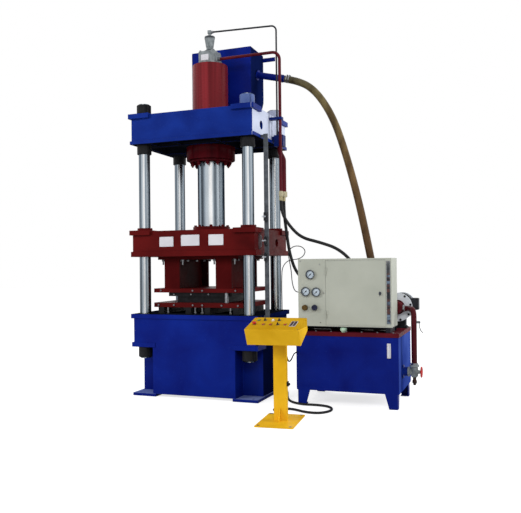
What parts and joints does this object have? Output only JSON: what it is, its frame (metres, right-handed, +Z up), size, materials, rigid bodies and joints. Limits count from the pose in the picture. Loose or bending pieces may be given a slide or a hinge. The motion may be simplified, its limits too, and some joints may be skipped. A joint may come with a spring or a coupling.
{
  "type": "hydraulic press",
  "caption": "Four-column hydraulic moulding press with sliding platen and tooling, oil power unit and a free-standing push-button console.",
  "frame": {"origin": "on the floor at the centre of the four anchor bolts, under the axis of the ram", "axes": "+Z up along the ram, +X from the press to its oil unit, +Y to the back of the press"},
  "size_m": [3.2713, 2.2497, 4.31],
  "materials": {
    "blue_paint": "gloss",
    "tank_blue": "gloss",
    "chrome_steel": "polished",
    "black_nut": "satin",
    "red_paint": "gloss",
    "maroon_paint": "satin",
    "dark_steel": "satin",
    "bare_steel": "machined",
    "bronze": "satin",
    "grey_cast": "satin",
    "beige_paint": "satin",
    "yellow_paint": "gloss",
    "black_plastic": "matte",
    "red_plastic": "gloss",
    "green_plastic": "gloss",
    "needle_black": "satin",
    "black_rubber": "matte",
    "olive_hose": "gloss"
  },
  "bodies": {
    "machine_frame": {"bed_frame": "blue_paint", "columns": "chrome_steel", "column_nuts": "black_nut", "crown_beam": "blue_paint", "cylinder_barrel": "red_paint", "cylinder_gland": "red_paint", "lower_die_plate": "maroon_paint", "lower_tooling": "black_nut", "prefill_valve": "grey_cast", "prefill_tank": "tank_blue", "pipework": "red_paint", "pipe_fittings": "bare_steel", "limit_rail": "bare_steel", "limit_switches": "dark_steel", "oil_tank": "tank_blue", "tank_cover": "red_paint", "tank_fittings": "bare_steel", "suction_valve": "grey_cast", "pump_unit": "grey_cast", "motor_body": "dark_steel", "valve_manifold": "dark_steel", "cabinet_shell": "beige_paint", "gauge_cases": "bare_steel", "console_stand": "yellow_paint", "console_box": "yellow_paint", "suction_hose": "olive_hose", "hydraulic_hose_a": "black_rubber", "hydraulic_hose_b": "black_rubber", "switch_cable": "black_rubber", "console_cable": "black_rubber", "floor_conduit": "black_rubber"},
    "slide": {"slide_beam": "maroon_paint", "guide_bushes": "bronze", "ram": "chrome_steel", "ram_flange": "dark_steel", "riser_frames": "maroon_paint", "upper_die_plate": "maroon_paint", "upper_mould": "black_nut", "switch_dog": "bare_steel"},
    "cabinet_door": {"cabinet_door": "beige_paint"},
    "door_lock": {"door_lock": "bare_steel"},
    "emergency_stop": {"emergency_stop": "red_plastic"},
    "gauge_needle_left": {"gauge_needle_left": "needle_black"},
    "gauge_needle_right": {"gauge_needle_right": "needle_black"},
    "gauge_needle_upper": {"gauge_needle_upper": "needle_black"},
    "limit_lever_high": {"limit_lever_high": "bare_steel"},
    "limit_lever_low": {"limit_lever_low": "bare_steel"},
    "limit_lever_middle": {"limit_lever_middle": "bare_steel"},
    "motor_rotor": {"motor_rotor": "bare_steel"},
    "panel_knob_left": {"panel_knob_left": "bronze"},
    "panel_knob_right": {"panel_knob_right": "black_plastic"},
    "push_button_left": {"push_button_left": "red_plastic"},
    "push_button_middle": {"push_button_middle": "red_plastic"},
    "push_button_right": {"push_button_right": "red_plastic"},
    "selector_far": {"selector_far": "black_plastic"},
    "selector_left": {"selector_left": "black_plastic"},
    "selector_near": {"selector_near": "black_plastic"},
    "start_button": {"start_button": "green_plastic"},
    "tap_lever": {"tap_lever": "grey_cast"},
    "valve_handwheel": {"valve_handwheel": "red_paint"}
  },
  "joints": [
    {"name": "slide_travel", "type": "slide", "parent": "machine_frame", "child": "slide", "axis": [0, 0, 1], "range_m": [0, 0.6]},
    {"name": "limit_lever_low_swing", "type": "hinge", "parent": "machine_frame", "child": "limit_lever_low", "pos_m": [0.826, -0.398, 1.58], "axis": [0, 1, 0], "range_deg": [-25, 25], "stiffness_Nm_per_rad": 1},
    {"name": "limit_lever_middle_swing", "type": "hinge", "parent": "machine_frame", "child": "limit_lever_middle", "pos_m": [0.826, -0.398, 1.76], "axis": [0, 1, 0], "range_deg": [-25, 25], "stiffness_Nm_per_rad": 1},
    {"name": "limit_lever_high_swing", "type": "hinge", "parent": "machine_frame", "child": "limit_lever_high", "pos_m": [0.826, -0.398, 2.026], "axis": [0, 1, 0], "range_deg": [-25, 25], "stiffness_Nm_per_rad": 1},
    {"name": "cabinet_door_hinge", "type": "hinge", "parent": "machine_frame", "child": "cabinet_door", "pos_m": [1.508, -0.422, 1.19], "axis": [0, 0, -1], "range_deg": [0, 110]},
    {"name": "door_lock_turn", "type": "hinge", "parent": "cabinet_door", "child": "door_lock", "pos_m": [2.085, -0.415, 1.187], "axis": [0, 1, 0], "range_deg": [0, 90]},
    {"name": "gauge_needle_upper_turn", "type": "hinge", "parent": "machine_frame", "child": "gauge_needle_upper", "pos_m": [1.344, -0.43, 1.386], "axis": [0, 1, 0], "range_deg": [0, 270], "stiffness_Nm_per_rad": 0.02, "springref_deg": -11.46},
    {"name": "gauge_needle_left_turn", "type": "hinge", "parent": "machine_frame", "child": "gauge_needle_left", "pos_m": [1.292, -0.43, 1.204], "axis": [0, 1, 0], "range_deg": [0, 270], "stiffness_Nm_per_rad": 0.02, "springref_deg": -11.46},
    {"name": "gauge_needle_right_turn", "type": "hinge", "parent": "machine_frame", "child": "gauge_needle_right", "pos_m": [1.408, -0.43, 1.199], "axis": [0, 1, 0], "range_deg": [0, 270], "stiffness_Nm_per_rad": 0.02, "springref_deg": -11.46},
    {"name": "panel_knob_left_turn", "type": "hinge", "parent": "machine_frame", "child": "panel_knob_left", "pos_m": [1.284, -0.435, 1.033], "axis": [0, 1, 0], "range_deg": [-135, 135]},
    {"name": "panel_knob_right_turn", "type": "hinge", "parent": "machine_frame", "child": "panel_knob_right", "pos_m": [1.39, -0.435, 1.034], "axis": [0, 1, 0], "range_deg": [-135, 135]},
    {"name": "motor_rotor_spin", "type": "hinge", "parent": "machine_frame", "child": "motor_rotor", "pos_m": [2.19, 0.2, 1.02], "axis": [0, 1, 0], "continuous": true},
    {"name": "valve_handwheel_turn", "type": "hinge", "parent": "machine_frame", "child": "valve_handwheel", "pos_m": [2.452, -0.185, 0.362], "axis": [1, 0, 0], "continuous": true},
    {"name": "tap_lever_turn", "type": "hinge", "parent": "machine_frame", "child": "tap_lever", "pos_m": [2.449, -0.185, 0.88], "axis": [-1, 0, 0], "range_deg": [0, 90]},
    {"name": "emergency_stop_press", "type": "slide", "parent": "machine_frame", "child": "emergency_stop", "axis": [-0.0185, 0.1992, -0.9798], "range_m": [0, 0.006], "stiffness_N_per_m": 700, "springref_m": -0.004},
    {"name": "push_button_left_press", "type": "slide", "parent": "machine_frame", "child": "push_button_left", "axis": [-0.0185, 0.1992, -0.9798], "range_m": [0, 0.004], "stiffness_N_per_m": 700, "springref_m": -0.004},
    {"name": "push_button_middle_press", "type": "slide", "parent": "machine_frame", "child": "push_button_middle", "axis": [-0.0185, 0.1992, -0.9798], "range_m": [0, 0.004], "stiffness_N_per_m": 700, "springref_m": -0.004},
    {"name": "selector_near_turn", "type": "hinge", "parent": "machine_frame", "child": "selector_near", "pos_m": [1.31241, -1.40759, 0.935], "axis": [0.0185, -0.1992, 0.9798], "range_deg": [-45, 45]},
    {"name": "push_button_right_press", "type": "slide", "parent": "machine_frame", "child": "push_button_right", "axis": [-0.0185, 0.1992, -0.9798], "range_m": [0, 0.004], "stiffness_N_per_m": 700, "springref_m": -0.004},
    {"name": "start_button_press", "type": "slide", "parent": "machine_frame", "child": "start_button", "axis": [-0.0185, 0.1992, -0.9798], "range_m": [0, 0.004], "stiffness_N_per_m": 700, "springref_m": -0.004},
    {"name": "selector_left_turn", "type": "hinge", "parent": "machine_frame", "child": "selector_left", "pos_m": [1.14585, -1.29021, 0.962], "axis": [0.0185, -0.1992, 0.9798], "range_deg": [-45, 45]},
    {"name": "selector_far_turn", "type": "hinge", "parent": "machine_frame", "child": "selector_far", "pos_m": [1.28326, -1.27746, 0.962], "axis": [0.0185, -0.1992, 0.9798], "range_deg": [-45, 45]}
  ]
}
